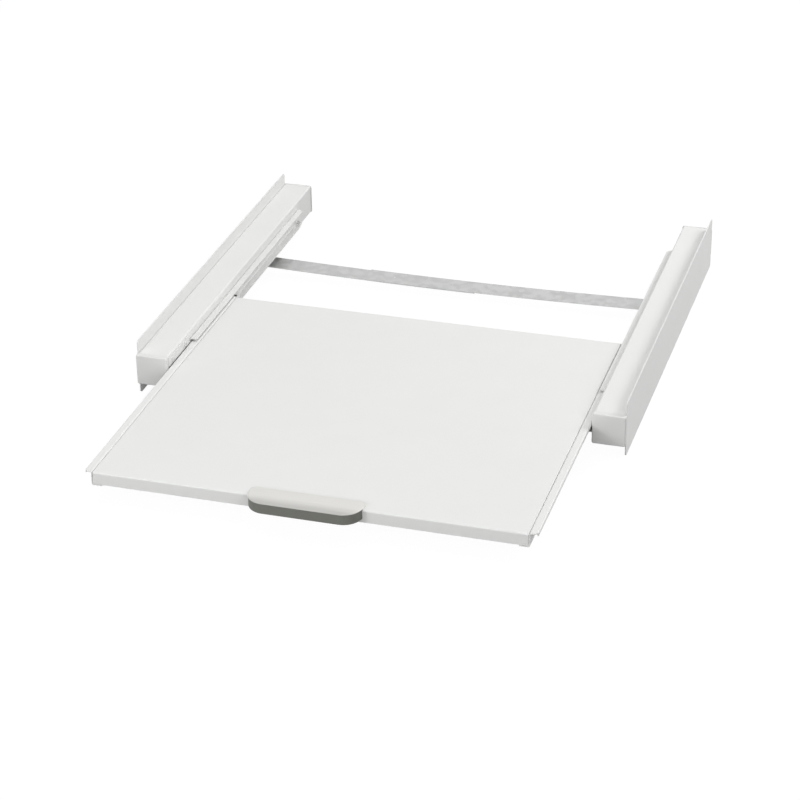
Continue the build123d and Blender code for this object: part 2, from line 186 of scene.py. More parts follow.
class ShaderBoard(NodeBoard):
    """A material's node tree while its finish is being wired."""

    PATTERN_RANGE = (0.25, 0.75)

    def __init__(self, name: str, metallic: float) -> None:
        """Start a material with one principled shader that reads Object coordinates.

        Args:
            name: the material's name.
            metallic: the shader's metallic value.
        """
        self.material = bpy.data.materials.new(name)
        self.material.use_nodes = True
        super().__init__(self.material.node_tree)
        self.shader = self.node("ShaderNodeBsdfPrincipled", {"Metallic": metallic})
        self.node("ShaderNodeOutputMaterial", {"Surface": self.shader.outputs["BSDF"]})
        self.place = self.node("ShaderNodeTexCoord").outputs["Object"]

    def stretched(self, x: float, y: float, z: float) -> Socket:
        """Object coordinates scaled along each axis, for patterns that run one way."""
        feeds = {"Vector": self.place, "Scale": (x, y, z)}
        return self.node("ShaderNodeMapping", feeds).outputs["Vector"]

    def noise(self, size: float, detail: float = 2.0, place: Optional[Socket] = None) -> Socket:
        """Add a cloudy pattern.

        Args:
            size: rough size of one cloud, in metres.
            detail: number of finer layers on top.
            place: coordinates to read, or None for the plain Object ones.

        Returns:
            The socket of the pattern's value, from 0 to 1.
        """
        feeds = {"Vector": place or self.place, "Scale": 1.0 / size, "Detail": detail}
        return self.node("ShaderNodeTexNoise", feeds).outputs["Fac"]

    def crystals(self, size: float) -> Socket:
        """Add a pattern of flat cells of random brightness.

        Args:
            size: rough size of one cell, in metres.

        Returns:
            The socket of each cell's own value, from 0 to 1.
        """
        cells = self.node("ShaderNodeTexVoronoi", {"Vector": self.place, "Scale": 1.0 / size})
        split = self.node("ShaderNodeSeparateColor", {"Color": cells.outputs["Color"]})
        return split.outputs["Red"]

    def tint(self, value: Socket, color: Color, darker: float) -> None:
        """Drive the base colour from a pattern.

        Args:
            value: pattern from 0 to 1.
            color: the finish's own colour, where the pattern is 1.
            darker: share of brightness that is lost where the pattern is 0.
        """
        ramp = self.node("ShaderNodeValToRGB", {"Fac": value})
        stops = zip(ramp.color_ramp.elements, self.PATTERN_RANGE, (1.0 - darker, 1.0))
        for stop, position, kept in stops:
            stop.position = position
            stop.color = (*[c * kept for c in color], 1.0)
        self.feed(self.shader.inputs["Base Color"], ramp.outputs["Color"])

    def fade(self, axis: str, full: float, none: float) -> Socket:
        """Add a value that goes softly from 1 to 0 along an axis.

        Args:
            axis: X, Y or Z.
            full: place where the value is 1.
            none: place where it has gone.

        Returns:
            The socket of the value.
        """
        split = self.node("ShaderNodeSeparateXYZ", {"Vector": self.place})
        feeds = {"Value": split.outputs[axis], "From Min": none, "From Max": full}
        soft = self.node("ShaderNodeMapRange", feeds, interpolation_type="SMOOTHSTEP")
        return soft.outputs["Result"]

    def darken(self, marks: Sequence[Socket], darker: float) -> None:
        """Darken the base colour where all marks are 1.

        Args:
            marks: values from 0 to 1, which are multiplied.
            darker: share of brightness that is lost where their product is 1.
        """
        tinted = self.shader.inputs["Base Color"].links[0].from_socket
        lost: Socket | float = darker
        for mark in marks:
            lost = self.calc("MULTIPLY", mark, lost)
        feeds = {0: tinted, "Scale": self.calc("SUBTRACT", 1.0, lost)}
        scaled = self.node("ShaderNodeVectorMath", feeds, operation="SCALE")
        self.feed(self.shader.inputs["Base Color"], scaled.outputs["Vector"])

    def roughen(self, value: Socket, between: Range) -> None:
        """Drive the roughness from a pattern.

        Args:
            value: pattern from 0 to 1.
            between: roughness where the pattern is low, and where it is high.
        """
        names = ("From Min", "From Max", "To Min", "To Max")
        feeds = {"Value": value, **dict(zip(names, (*self.PATTERN_RANGE, *between)))}
        laid = self.node("ShaderNodeMapRange", feeds)
        self.feed(self.shader.inputs["Roughness"], between[0])
        self.feed(self.shader.inputs["Roughness"], laid.outputs["Result"])

    def emboss(self, value: Socket, depth: float, below: Optional[Socket] = None) -> Socket:
        """Raise the surface by a pattern.

        Args:
            value: pattern from 0 to 1.
            depth: height from the pattern's lowest to its highest place, in metres.
            below: normal of a coarser relief under this one, if any.

        Returns:
            The socket of the new normal, which the shader now reads.
        """
        feeds = {"Height": value, "Strength": 1.0, "Distance": depth}
        if below is not None:
            feeds["Normal"] = below
        normal = self.node("ShaderNodeBump", feeds).outputs["Normal"]
        self.feed(self.shader.inputs["Normal"], normal)
        return normal


@dataclass(frozen=True)
class PaintedShadeMark:
    """Painted shade on a finish, as a share of brightness lost and the soft fades that bound it.

    Each fade is an axis, the place where the mark is full and the place where it has gone.
    """

    darker: float
    fades: tuple[tuple[str, float, float], ...]

    def put(self, board: ShaderBoard) -> None:
        """Paint the shade: darken the finish where all the fades are full."""
        board.darken([board.fade(*fade) for fade in self.fades], self.darker)


@dataclass(frozen=True)
class Finish:
    """Name and colour of a finish, whose kind lays its patterns."""

    name: str
    color: Color
    metallic: float = 0.0

    def make(self) -> bpy.types.Material:
        """Wire the finish.

        Returns:
            The new material.
        """
        board = ShaderBoard(self.name, self.metallic)
        self.lay(board)
        return board.material

    def lay(self, board: ShaderBoard) -> None:
        """Lay this kind's patterns on the shader."""
        raise NotImplementedError


@dataclass(frozen=True)
class PowderCoat(Finish):
    """White powder coat: satin, faintly mottled, with the fine dimples left as it flows out."""

    roughness: Range = (0.34, 0.42)
    sheen_cloud: float = 15 * MM
    dimple: float = 1.3 * MM
    dimple_depth: float = 0.006 * MM
    wave: float = 45 * MM
    mottle: float = 0.015
    ior: float = 1.48
    # Painted shade that the coat carries, if any.
    gap_shade: Optional[PaintedShadeMark] = None

    def lay(self, board: ShaderBoard) -> None:
        """Lay the coat's patterns.

        Args:
            board: the finish's node tree.
        """
        board.tint(board.noise(self.wave, detail=3.0), self.color, self.mottle)
        # Lay the painted shade, where there is one.
        if self.gap_shade:
            self.gap_shade.put(board)
        board.roughen(board.noise(self.sheen_cloud), self.roughness)
        board.emboss(board.noise(self.dimple, detail=1.0), self.dimple_depth)
        board.shader.inputs["IOR"].default_value = self.ior


@dataclass(frozen=True)
class MouldedPlastic(Finish):
    """Moulded plastic with its mould's spark-eroded grain, and flow streaks along X if any."""

    roughness: Range = (0.45, 0.55)
    grain: float = 0.4 * MM
    grain_depth: float = 0.012 * MM
    cloud: float = 20 * MM
    streak: float = 0.0
    streak_stretch: float = 0.05
    mottle: float = 0.03
    # Painted shade that the moulding carries, if any.
    edge_shade: Optional[PaintedShadeMark] = None

    def lay(self, board: ShaderBoard) -> None:
        """Lay the moulding's patterns.

        Args:
            board: the finish's node tree.
        """
        if self.streak:
            drawn = board.stretched(self.streak_stretch, 1.0, 1.0)
            pattern = board.noise(self.streak, detail=3.0, place=drawn)
        else:
            pattern = board.noise(self.cloud, detail=3.0)
        board.tint(pattern, self.color, self.mottle)
        # Lay the painted shade, where there is one.
        if self.edge_shade:
            self.edge_shade.put(board)
        board.roughen(pattern, self.roughness)
        board.emboss(board.noise(self.grain), self.grain_depth)


@dataclass(frozen=True)
class TurnedNylon(Finish):
    """Dark nylon of the rollers, with a dull tread and faint tool marks."""

    roughness: Range = (0.4, 0.6)
    cloud: float = 3 * MM
    mottle: float = 0.35
    tread: float = 2 * MM
    tool_mark: float = 0.35 * MM
    tool_mark_depth: float = 0.01 * MM
    tool_mark_stretch: float = 0.1

    def lay(self, board: ShaderBoard) -> None:
        """Lay the nylon's patterns.

        Args:
            board: the finish's node tree.
        """
        board.tint(board.noise(self.cloud, detail=3.0), self.color, self.mottle)
        board.roughen(board.noise(self.tread), self.roughness)
        turned = board.stretched(1.0, self.tool_mark_stretch, self.tool_mark_stretch)
        board.emboss(board.noise(self.tool_mark, detail=1.0, place=turned), self.tool_mark_depth)


@dataclass(frozen=True)
class ZincPlate(Finish):
    """Bright zinc plate on screws, rivets and pins, slightly clouded."""

    metallic: float = 1.0
    roughness: Range = (0.26, 0.42)
    cloud: float = 2.5 * MM
    mottle: float = 0.18
    grain: float = 0.3 * MM
    grain_depth: float = 0.004 * MM

    def lay(self, board: ShaderBoard) -> None:
        """Lay the plate's patterns.

        Args:
            board: the finish's node tree.
        """
        cloud = board.noise(self.cloud, detail=3.0)
        board.tint(cloud, self.color, self.mottle)
        board.roughen(cloud, self.roughness)
        board.emboss(board.noise(self.grain), self.grain_depth)


@dataclass(frozen=True)
class GalvanisedSteel(Finish):
    """Galvanised strip: dull grey zinc with faint crystals, and rolling lines along X."""

    metallic: float = 1.0
    roughness: Range = (0.4, 0.5)
    crystal: float = 7 * MM
    crystal_depth: float = 0.004 * MM
    mottle: float = 0.07
    line: float = 0.6 * MM
    line_depth: float = 0.003 * MM
    line_stretch: float = 0.02

    def lay(self, board: ShaderBoard) -> None:
        """Lay the strip's patterns.

        Args:
            board: the finish's node tree.
        """
        crystals = board.crystals(self.crystal)
        board.tint(crystals, self.color, self.mottle)
        board.roughen(crystals, self.roughness)
        rolled = board.stretched(self.line_stretch, 1.0, 1.0)
        lines = board.emboss(board.noise(self.line, place=rolled), self.line_depth)
        board.emboss(crystals, self.crystal_depth, lines)


# Painted shade: a darker band along each fixed runner's web, just below the shelf runner's flange,
# stands in for the shadow in the gap between them.
TRACK_GAP_SHADE = PaintedShadeMark(
    darker=0.87,
    fades=(
        ("Z", 36.5 * MM, 36 * MM),
        ("Z", 39.4 * MM, 39.9 * MM),
        ("Y", -50 * MM, 40 * MM),
    ),
)
# The fixed runners' coat: the white powder coat made a little darker all over as painted shade,
# and carrying the painted gap shadow too.
SHADED_TRACK_COAT = PowderCoat("track_powder_coat", (0.79, 0.792, 0.78), gap_shade=TRACK_GAP_SHADE)
# Painted shade: the handle cover darkens towards its front edge, where its top rolls over.
FRONT_EDGE_SHADE = PaintedShadeMark(darker=0.36, fades=(("Y", -415 * MM, -395 * MM),))
FINISHES = {
    Slot.WHITE_STEEL: PowderCoat("white_powder_coat", (0.81, 0.812, 0.80)),
    Slot.WHITE_SCREWS: PowderCoat("coated_screw", (0.72, 0.72, 0.71), dimple=0.5 * MM),
    Slot.WHITE_PLASTIC: MouldedPlastic("white_moulding", (0.78, 0.78, 0.77)),
    Slot.COVER_PLASTIC: MouldedPlastic(
        "warm_white_moulding",
        (0.735, 0.727, 0.70),
        roughness=(0.3, 0.42),
        grain=0.5 * MM,
        grain_depth=0.006 * MM,
        streak=1.6 * MM,
        mottle=0.05,
        edge_shade=FRONT_EDGE_SHADE,
    ),
    Slot.GRIP_PLASTIC: MouldedPlastic(
        "dark_grey_moulding", (0.155, 0.16, 0.14), roughness=(0.5, 0.62)
    ),
    Slot.BLACK_NYLON: TurnedNylon("black_nylon", (0.025, 0.025, 0.025)),
    Slot.ZINC_STEEL: ZincPlate("bright_zinc", (0.66, 0.67, 0.68)),
    Slot.GALVANISED_STEEL: GalvanisedSteel("galvanised_strip", (0.51, 0.515, 0.51)),
}


def plain_mesh(piece: bpy.types.Object) -> bpy.types.Mesh:
    """Mesh of a piece as its modifiers leave it.

    Args:
        piece: the object, with its modifiers.

    Returns:
        A new mesh that needs no modifiers.
    """
    graph = bpy.context.evaluated_depsgraph_get()
    graph.update()
    return bpy.data.meshes.new_from_object(piece.evaluated_get(graph), depsgraph=graph)


class Workshop:
    """Turns shapes into finished pieces, each with its edges, material, body and CAD node."""

    WELD = 0.0005 * MM
    CAD_WELD = 0.001 * MM
    FLAT_FACE_WEIGHT = 80
    SORT_DIGITS = 4

    def __init__(self, frame: dict) -> None:
        """Keep the loaded frame and make every finish once.
        """
        self.nodes: dict[str, bpy.types.Object] = frame["nodes"]
        self.materials = {slot: finish.make() for slot, finish in FINISHES.items()}
        # Darker copy of the white coat, as painted shade, for the fixed runners.
        self.shaded_track_coat = SHADED_TRACK_COAT.make()

    def add(self, name: str, shape: Shape) -> bpy.types.Object:
        """Link a new object made of a shape, with its faces turned outwards.

        Args:
            name: the object's name.
            shape: the shape, which is used up.

        Returns:
            The object.
        """
        bmesh.ops.remove_doubles(shape, verts=shape.verts[:], dist=self.WELD)
        bmesh.ops.recalc_face_normals(shape, faces=shape.faces[:])
        mesh = bpy.data.meshes.new(name)
        shape.to_mesh(mesh)
        shape.free()
        piece = bpy.data.objects.new(name, mesh)
        bpy.context.scene.collection.objects.link(piece)
        return piece

    def crease(self, piece: bpy.types.Object, angle: float) -> None:
        """Shade a piece smooth, apart from edges that turn by more than an angle."""
        piece.data.shade_smooth()
        piece.data.set_sharp_from_angle(angle=angle)

    def modify(self, piece: bpy.types.Object, kind: str, **settings: object) -> None:
        """Run one modifier on a piece and keep the result as plain mesh.

        Args:
            piece: the object.
            kind: Blender's name for the type of modifier.
            settings: the modifier's own properties.
        """
        modifier = piece.modifiers.new(kind.lower(), kind)
        for name, value in settings.items():
            setattr(modifier, name, value)
        mesh = plain_mesh(piece)
        piece.modifiers.clear()
        piece.data = mesh

    def finish(
        self,
        node: str,
        made: str,
        shape: Shape,
        slot: Slot,
        body: Body,
        edge: float = 0.0,
        steps: int = 2,
        sharp: float = 40.0,
    ) -> None:
        """Make the piece that stands for a CAD node.

        Args:
            node: the CAD node's name.
            made: word for how it is made, which ends the piece's name.
            shape: the piece's shape, which is used up.
            slot: slot of its finish.
            body: body that it rides on.
            edge: width of its rounded edges, in metres, or 0 for none.
            steps: segments across a rounded edge.
            sharp: least turn, in degrees, that counts as an edge.
        """
        piece = self.add(f"{node}_{made}", shape)
        angle = math.radians(sharp)
        self.crease(piece, angle)
        if edge > 0:
            bevel = {"width": edge, "segments": steps, "limit_method": "ANGLE"}
            self.modify(piece, "BEVEL", **bevel, angle_limit=angle, use_clamp_overlap=True)
            self.crease(piece, angle)
        self.modify(piece, "WEIGHTED_NORMAL", weight=self.FLAT_FACE_WEIGHT, keep_sharp=True)
        piece.data.materials.clear()
        piece.data.materials.append(self.materials[slot])
        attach(piece, body.value)
        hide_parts(node)
        LOG.info("%s: %d faces on %s", piece.name, len(piece.data.polygons), body.value)

    def dress_node(self, node: str, material: bpy.types.Material) -> None:
        """Give a CAD node, whose shape stays, its material.

        Args:
            node: the CAD node's name.
            material: its finish.
        """
        for material_slot in self.nodes[node].material_slots:
            material_slot.material = material
        LOG.info("%s: CAD shape in %s", node, material.name)

    def solids(self, node: str) -> list[Box]:
        """Find the separate solids of a CAD node.

        Args:
            node: the CAD node's name.

        Returns:
            Lowest and highest corner of each solid, in order of X, Y and Z.
        """
        shape = bmesh.new()
        shape.from_mesh(self.nodes[node].data)
        bmesh.ops.remove_doubles(shape, verts=shape.verts[:], dist=self.CAD_WELD)
        unseen = set(shape.verts)
        boxes = []
        while unseen:
            stack = [unseen.pop()]
            low = stack[0].co.copy()
            high = stack[0].co.copy()
            while stack:
                vertex = stack.pop()
                low = Vector(map(min, low, vertex.co))
                high = Vector(map(max, high, vertex.co))
                near = {edge.other_vert(vertex) for edge in vertex.link_edges} & unseen
                unseen -= near
                stack.extend(near)
            boxes.append((low, high))
        shape.free()
        digits = self.SORT_DIGITS
        return sorted(boxes, key=lambda box: [round(v, digits) for corner in box for v in corner])


def arc(centre: Point2, radius: float, start: float, end: float, steps: int) -> list[Point2]:
    """Points on an arc, both ends included.

    Args:
        centre: centre of the arc.
        radius: its radius.
        start: angle of the first point, in degrees.
        end: angle of the last point, in degrees.
        steps: number of segments.

    Returns:
        The points in order.
    """
    turns = [math.radians(start + (end - start) * i / steps) for i in range(steps + 1)]
    return [(centre[0] + radius * math.cos(t), centre[1] + radius * math.sin(t)) for t in turns]


def quarter_round(radius: float, steps: int) -> list[Point2]:
    """Rounded edge, from the side that it rises from to the top that it runs into.

    Args:
        radius: radius of the edge.
        steps: number of segments.

    Returns:
        Pairs of how far a point is drawn in from the side and how far it is below the top.
    """
    turns = [math.radians(90 * i / steps) for i in range(steps + 1)]
    return [(radius * (1 - math.cos(t)), radius * (1 - math.sin(t))) for t in turns]


def rounded_rectangle(
    low: Sequence[float],
    high: Sequence[float],
    radii: Sequence[float],
    steps: int,
    inset: Point2 = (0.0, 0.0),
) -> list[Point2]:
    """Outline of a rectangle with rounded corners.

    Args:
        low: corner with the lowest coordinates.
        high: corner with the highest coordinates.
        radii: radius at the corners low-low, high-low, high-high and low-high.
        steps: segments of each corner.
        inset: how far the outline is drawn in from the corners along each axis.

    Returns:
        The points, anticlockwise.
    """
    left, front = low[0] + inset[0], low[1] + inset[1]
    right, back = high[0] - inset[0], high[1] - inset[1]
    one, two, three, four = radii
    corners = [
        ((left + one, front + one), one, 180),
        ((right - two, front + two), two, 270),
        ((right - three, back - three), three, 0),
        ((left + four, back - four), four, 90),
    ]
    points = []
    for centre, radius, start in corners:
        points += arc(centre, radius, start, start + 90, steps)
    return points


def fold_line(corners: Sequence[Point2], radii: Sequence[float], steps: int) -> list[Point2]:
    """Middle line of a folded sheet: straight runs joined by arcs.

    Args:
        corners: corners of the middle line.
        radii: radius of the middle line at each fold.
        steps: segments of each fold.

    Returns:
        The points of the line, in order.
    """
    line = [corners[0]]
    for before, corner, after, radius in zip(corners, corners[1:], corners[2:], radii):
        back = (Vector(before) - Vector(corner)).normalized()
        ahead = (Vector(after) - Vector(corner)).normalized()
        half = back.angle(ahead) / 2
        centre = Vector(corner) + (back + ahead).normalized() * (radius / math.sin(half))
        first = Vector(corner) + back * (radius / math.tan(half)) - centre
        last = Vector(corner) + ahead * (radius / math.tan(half)) - centre
        turn = first.angle_signed(last)
        for i in range(steps + 1):
            point = first.copy()
            point.rotate(Matrix.Rotation(-turn * i / steps, 2))
            line.append(tuple(centre + point))
    line.append(corners[-1])
    return line


def sheet_outline(line: Sequence[Point2], thickness: float) -> list[Point2]:
    """Closed outline of a sheet that follows a middle line.

    Args:
        line: the middle line's points.
        thickness: the sheet's thickness.

    Returns:
        The outline's points, along one face and back along the other.
    """
    points = [Vector(point) for point in line]
    runs = [(b - a).normalized() for a, b in zip(points, points[1:])]
    one_face = []
    other_face = []
    for i, point in enumerate(points):
        into = runs[max(i - 1, 0)]
        out = runs[min(i, len(runs) - 1)]
        across = Vector((-(into + out).y, (into + out).x)).normalized()
        reach = thickness / 2 / across.dot(Vector((-out.y, out.x)))
        one_face.append(tuple(point + across * reach))
        other_face.append(tuple(point - across * reach))
    return one_face + other_face[::-1]


def bridge(shape: Shape, one: Sequence[bmesh.types.BMVert], other: Sequence) -> None:
    """Join two closed rows of as many vertices by faces of four sides."""
    for a, b, c, d in zip(one, [*one[1:], one[0]], [*other[1:], other[0]], other):
        shape.faces.new((a, b, c, d))


def rings(shape: Shape, loops: Sequence[Sequence[Vector]], closed: bool = False) -> list[list]:
    """Skin a row of loops that have the same number of points.

    Args:
        shape: mesh to add to.
        loops: the loops, each a closed row of points.
        closed: whether the last loop is joined to the first.

    Returns:
        The new vertices of each loop.
    """
    made = [[shape.verts.new(point) for point in loop] for loop in loops]
    for one, other in zip(made, made[1:]):
        bridge(shape, one, other)
    if closed:
        bridge(shape, made[-1], made[0])
    return made


def skinned(shape: Shape, loops: Sequence[Sequence[Vector]]) -> None:
    """Add a solid: a row of loops, skinned and closed at both ends.

    Args:
        shape: mesh to add to.
        loops: the loops, each a closed row of as many points.
    """
    made = rings(shape, loops)
    shape.faces.new(made[0])
    shape.faces.new(made[-1])


def hollow(
    shape: Shape, outside: Sequence[Sequence[Vector]], inside: Sequence[Sequence[Vector]]
) -> None:
    """Add a hollow solid that is open where its rows of loops start.

    Args:
        shape: mesh to add to.
        outside: loops of the outside, from the rim to the closed end.
        inside: loops of the hollow, in the same order.
    """
    rims = []
    for loops in (outside, inside):
        made = rings(shape, loops)
        shape.faces.new(made[-1])
        rims.append(made[0])
    bridge(shape, *rims)


def drawn_out(
    shape: Shape, outline: Sequence[Point2], along: Along, start: float, end: float
) -> None:
    """Add a solid: a flat outline drawn out between two depths."""
    skinned(shape, [along.loop(outline, depth) for depth in (start, end)])


def tube(
    shape: Shape,
    outer: Sequence[Point2],
    inner: Sequence[Point2],
    along: Along,
    start: float,
    end: float,
) -> None:
    """Add a hollow solid between two outlines that have the same number of points.

    Args:
        shape: mesh to add to.
        outer: outline of the outside.
        inner: outline of the hollow.
        along: direction that both are drawn out in.
        start: depth of one end.
        end: depth of the other end.
    """
    corners = ((outer, start), (outer, end), (inner, end), (inner, start))
    rings(shape, [along.loop(outline, depth) for outline, depth in corners], closed=True)


@dataclass
class Rail:
    """One side's rail: side plate, folded box, a cap at each end, and roller channel."""

    shop: Workshop
    side: Side
    edge: float = 0.3 * MM
    plate_corner: float = 4 * MM
    plate_steps: int = 5
    sheet: float = 1.2 * MM
    bend: float = 1.5 * MM
    plate_bend: float = 0.3 * MM
    bend_steps: int = 6
    return_reach: float = 12 * MM
    cap_corner: float = 2.5 * MM
    least_corner: float = 0.3 * MM
    front_cap_edge: float = 1.8 * MM
    rear_cap_edge: float = 2 * MM
    cap_steps: int = 6
    cap_sharp: float = 35.0
    seam_edge: float = 0.2 * MM
    seam_groove: float = 0.4 * MM
    cap_proud: float = 0.9 * MM
    cap_rise: float = 0.2 * MM
    plug_corner: float = 1.8 * MM
    plug_inner_corner: float = 0.6 * MM
    plug_steps: int = 3
    plug_wall: float = 2 * MM
    plug_clearance: float = 0.3 * MM

    def build(self) -> None:
        """Build and dress the rail's pieces."""
        self.plate()
        self.box()
        for end in End:
            self.cap(end)
        # Painted shade: the fixed runner wears the darker copy of the white coat, with the painted
        # gap shadow on its web.
        self.shop.dress_node(self.side.node("fixed_runner"), self.shop.shaded_track_coat)

    def plate(self) -> None:
        """Side plate: a flat blank with small rounded corners and broken edges."""
        node = self.side.node("side_plate")
        low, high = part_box(node)
        radii = [self.plate_corner] * 4
        outline = rounded_rectangle(low.yz, high.yz, radii, self.plate_steps)
        shape = bmesh.new()
        drawn_out(shape, outline, Along.X, low.x, high.x)
        self.shop.finish(node, "coated", shape, Slot.WHITE_STEEL, Body.FRAME, self.edge)

    def box(self) -> None:
        """Rail box: one sheet folded round four corners, with its returns against the plate."""
        node = self.side.node("rail_box")
        low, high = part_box(node)
        half = self.sheet / 2
        inner, outer = low.x + half, high.x - half
        if self.side is Side.LEFT:
            inner, outer = outer, inner
        floor, roof = low.z + half, high.z - half
        corners = [
            (outer, low.z + self.return_reach),
            (outer, floor),
            (inner, floor),
            (inner, roof),
            (outer, roof),
            (outer, high.z - self.return_reach),
        ]
        plate_bend, bend = self.plate_bend + half, self.bend + half
        line = fold_line(corners, [plate_bend, bend, bend, plate_bend], self.bend_steps)
        shape = bmesh.new()
        drawn_out(shape, sheet_outline(line, self.sheet), Along.Y, low.y, high.y)
        self.shop.finish(node, "coated", shape, Slot.WHITE_STEEL, Body.FRAME)

    def cap(self, end: End) -> None:
        """Cap at one end of the rail: a moulded face, and behind it the plug in the box's mouth.

        Args:
            end: which end of the rail it closes.
        """
        front = end is End.FRONT
        node = self.side.node(f"{end.name.lower()}_cap")
        low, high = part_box(node)
        face, plug_end = (low.y, high.y) if front else (high.y, low.y)
        edge = self.front_cap_edge if front else self.rear_cap_edge
        plate_low, plate_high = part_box(self.side.node("side_plate"))
        seam = (plate_low.y if front else plate_high.y) + end.value * self.seam_groove
        high.z += self.cap_rise
        if self.side is Side.LEFT:
            high.x += self.cap_proud
        else:
            low.x -= self.cap_proud
        levels = [(self.seam_edge, seam), (0.0, seam + end.value * self.seam_edge)]
        rounded = quarter_round(edge, self.cap_steps)
        levels += [(inset, face - end.value * below) for inset, below in rounded]
        loops = []
        for inset, y in levels:
            radii = [max(self.cap_corner - inset, self.least_corner)] * 4
            outline = rounded_rectangle(low.xz, high.xz, radii, self.cap_steps, (inset, inset))
            loops.append(Along.Y.loop(outline, y))
        shape = bmesh.new()
        skinned(shape, loops)
        clear = self.sheet + self.plug_clearance
        outer = self.plug_outline(clear, self.plug_corner)
        inner = self.plug_outline(clear + self.plug_wall, self.plug_inner_corner)
        tube(shape, outer, inner, Along.Y, seam + end.value * self.plug_wall, plug_end)
        plastic = Slot.WHITE_PLASTIC
        self.shop.finish(node, "moulded", shape, plastic, Body.FRAME, sharp=self.cap_sharp)

    def plug_outline(self, inset: float, corner: float) -> list[Point2]:
        """Outline of a cap's plug.

        Args:
            inset: how far it lies inside the rail box's outside.
            corner: radius of its corners.

        Returns:
            The outline's points, in X and Z.
        """
        low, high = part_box(self.side.node("rail_box"))
        return rounded_rectangle(low.xz, high.xz, [corner] * 4, self.plug_steps, (inset, inset))


@dataclass
class Shelf:
    """Sliding shelf: the folded tray and the runners along its sides."""

    shop: Workshop
    sheet: float = 1 * MM
    bend: float = 2 * MM
    side_bend: float = 0.8 * MM
    bend_steps: int = 6
    corner: float = 0.8 * MM
    least_corner: float = 0.15 * MM
    corner_steps: int = 3
    hem: float = 10 * MM
    hem_margin: float = 11.5 * MM

    def build(self) -> None:
        """Build and dress the shelf's pieces."""
        self.tray()
        for side in Side:
            self.shop.dress_node(side.node("shelf_runner"), self.shop.materials[Slot.WHITE_STEEL])

    def tray(self) -> None:
        """Tray: a flat panel rolled over into four lips, with a hem under two of them."""
        low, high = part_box("shelf_tray")
        rolled = quarter_round(self.bend, self.bend_steps)
        levels = [(0.0, low.z)] + [(inset, high.z - below) for inset, below in rolled]
        under = [(inset + self.sheet, max(z - self.sheet, low.z)) for inset, z in levels]
        shape = bmesh.new()
        hollow(shape, *[[self.plan(inset, z) for inset, z in row] for row in (levels, under)])
        left, right = low.x + self.hem_margin, high.x - self.hem_margin
        for start in (low.y + self.sheet, high.y - self.hem):
            end = start + self.hem - self.sheet
            strip = [(left, start), (right, start), (right, end), (left, end)]
            drawn_out(shape, strip, Along.Z, low.z, low.z + self.sheet)
        self.shop.finish("shelf_tray", "coated", shape, Slot.WHITE_STEEL, Body.SHELF)

    def plan(self, inset: float, z: float) -> list[Vector]:
        """Loop of the tray's outline, whose sides are bent more tightly than its front and back.

        Args:
            inset: how far the front and back are drawn in.
            z: the loop's height.

        Returns:
            The loop's points.
        """
        low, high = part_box("shelf_tray")
        rolled = min(inset, self.bend)
        side = inset - rolled + rolled * self.side_bend / self.bend
        radii = [max(self.corner - inset, self.least_corner)] * 4
        outline = rounded_rectangle(low.xy, high.xy, radii, self.corner_steps, (side, inset))
        return Along.Z.loop(outline, z)


